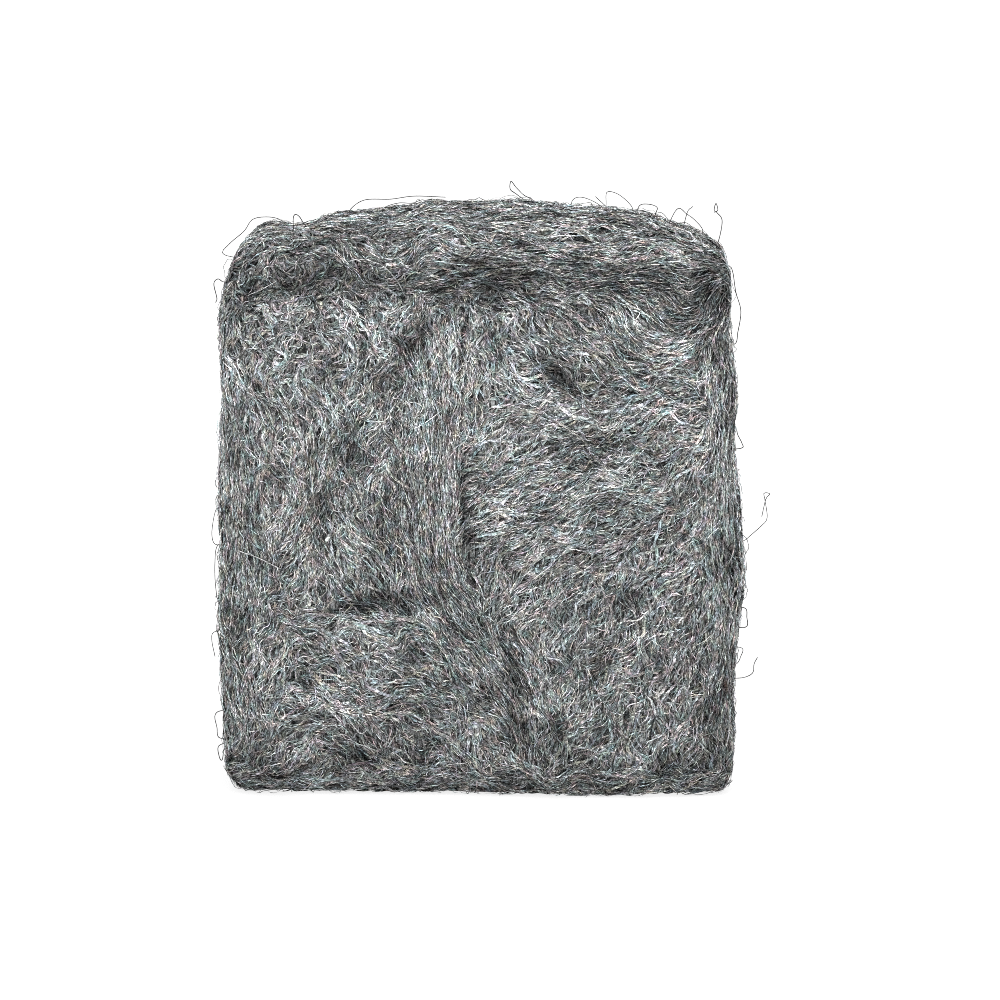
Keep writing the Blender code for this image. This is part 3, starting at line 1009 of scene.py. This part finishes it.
def lyingRoute(pixels):
    # follows the front, a little above it, and dips in at both ends
    knots = []
    for pixel in pixels:
        target = sightPlace(pixel, looseWire["frontPlane"])
        eye = sightPlace(pixel, looseWire["farPlane"])
        place, normal = surface.ray_cast(eye, (target - eye).normalized())[:2]
        knots.append(place + normal * looseWire["lift"])
    return smoothRoute([rootOf(knots[0])] + knots + [rootOf(knots[-1])], looseWire["steps"])


def makeLooseWires(name, paths, tone, seed):
    dice = np.random.default_rng(seed)
    path = np.stack(paths)
    up = np.broadcast_to((0.0, -1.0, 0.0), path.shape)
    radius = looseWire["radius"] * dice.uniform(*looseWire["radiusSpread"], len(path))
    tones = tone * dice.lognormal(0, looseWire["toneSpread"], path.shape[:2] + (1,)) * np.ones(3)
    tones = np.clip(tones, *looseWire["toneLimits"])
    strandObject(name, path, up, radius, tones, looseWire, dice, strandMaterial)
    print(name, "made:", len(path), "wires")


standing = [looseRoute(*end) for end in looseEnds.values()]
lying = [lyingRoute(route) for route in paleWires.values()]
makeLooseWires("looseEnds", standing, tone=0.12, seed=301)
makeLooseWires("paleWires", lying, tone=0.62, seed=302)

# Studio: a pale floor and soft lamps
studio = {
    "floorRadius": 12.0,
    "floorSides": 64,
    "floorShade": (0.18, 0.18, 0.18, 1.0),
    "floorGlow": 0.80,         # the floor is a white light table, so it takes almost no shadow
    "floorRoughness": 0.9,
    "floorGloss": 0.1,
    "grainScale": 40.0,
    "grainShade": 0.985,
    "white": (1.0, 1.0, 1.0, 1.0),
    "skyLight": 0.90,
    "skyShown": 1.0,
    "lampAim": (0, 0, 0.08),
    "filterWidth": 1.0,        # narrow, for crisp strands
}

lamps = {
    "overhead": dict(place=(0.0, -0.35, 1.1), size=0.9, power=7.0),
    "leftFront": dict(place=(-0.9, -1.1, 0.65), size=1.0, power=8.0),
    "rightFront": dict(place=(0.9, -1.0, 0.55), size=1.0, power=7.0),
    "behind": dict(place=(0.3, 1.1, 0.8), size=0.8, power=6.0),
}
ceiling = dict(lean=(25, 0, -20), spread=100, strength=1.4)      # one wide light, even over the floor


def floorPaint():
    material = bpy.data.materials.new("paleFloor")
    material.use_nodes = True
    tree = material.node_tree
    shader = tree.nodes["Principled BSDF"]
    shader.inputs["Roughness"].default_value = studio["floorRoughness"]
    shader.inputs["Specular IOR Level"].default_value = studio["floorGloss"]
    shader.inputs["Emission Color"].default_value = studio["white"]
    shader.inputs["Emission Strength"].default_value = studio["floorGlow"]
    grain = addNode(tree, "ShaderNodeTexNoise")
    grain.inputs["Scale"].default_value = studio["grainScale"]
    darker = [studio["grainShade"] * part for part in studio["floorShade"][:3]]
    tint = addNode(tree, "ShaderNodeMix", data_type="RGBA")
    tint.inputs["A"].default_value = studio["floorShade"]
    tint.inputs["B"].default_value = (*darker, 1.0)
    tree.links.new(grain.outputs["Fac"], tint.inputs["Factor"])
    tree.links.new(tint.outputs["Result"], shader.inputs["Base Color"])
    return material


def makeFloor():
    sides, reach = studio["floorSides"], studio["floorRadius"]
    turns = [2 * math.pi * side / sides for side in range(sides)]
    rim = [(reach * math.cos(turn), reach * math.sin(turn), 0) for turn in turns]
    mesh = bpy.data.meshes.new("paleFloor")
    mesh.from_pydata(rim, [], [list(range(sides))])
    mesh.materials.append(floorPaint())
    floor = bpy.data.objects.new("paleFloor", mesh)
    bpy.context.scene.collection.objects.link(floor)


def makeLamps():
    for name, lamp in lamps.items():
        data = bpy.data.lights.new(name, "AREA")
        data.shape = "SQUARE"
        data.size = lamp["size"]
        data.energy = lamp["power"]
        light = bpy.data.objects.new(name, data)
        bpy.context.scene.collection.objects.link(light)
        light.location = lamp["place"]
        away = Vector(lamp["place"]) - Vector(studio["lampAim"])
        light.rotation_mode = "QUATERNION"
        light.rotation_quaternion = away.to_track_quat("Z", "Y")
    data = bpy.data.lights.new("ceiling", "SUN")
    data.angle = math.radians(ceiling["spread"])
    data.energy = ceiling["strength"]
    light = bpy.data.objects.new("ceiling", data)
    bpy.context.scene.collection.objects.link(light)
    light.rotation_euler = [math.radians(angle) for angle in ceiling["lean"]]


def makeSky():
    world = bpy.data.worlds.new("paleStudio")
    bpy.context.scene.world = world
    world.use_nodes = True
    tree = world.node_tree
    lit = tree.nodes["Background"]
    lit.inputs["Color"].default_value = studio["white"]
    lit.inputs["Strength"].default_value = studio["skyLight"]
    shown = addNode(tree, "ShaderNodeBackground")
    shown.inputs["Color"].default_value = studio["white"]
    shown.inputs["Strength"].default_value = studio["skyShown"]
    ray = addNode(tree, "ShaderNodeLightPath")
    mix = addNode(tree, "ShaderNodeMixShader")
    tree.links.new(ray.outputs["Is Camera Ray"], mix.inputs["Fac"])
    tree.links.new(lit.outputs["Background"], mix.inputs[1])
    tree.links.new(shown.outputs["Background"], mix.inputs[2])
    tree.links.new(mix.outputs["Shader"], tree.nodes["World Output"].inputs["Surface"])


makeFloor()
makeLamps()
makeSky()
bpy.context.scene.view_settings.view_transform = "Standard"
bpy.context.scene.cycles.filter_width = studio["filterWidth"]
bpy.context.scene.cycles.use_denoising = False     # the denoiser would smear the strands
print("studio lit")

bpy.context.view_layer.update()
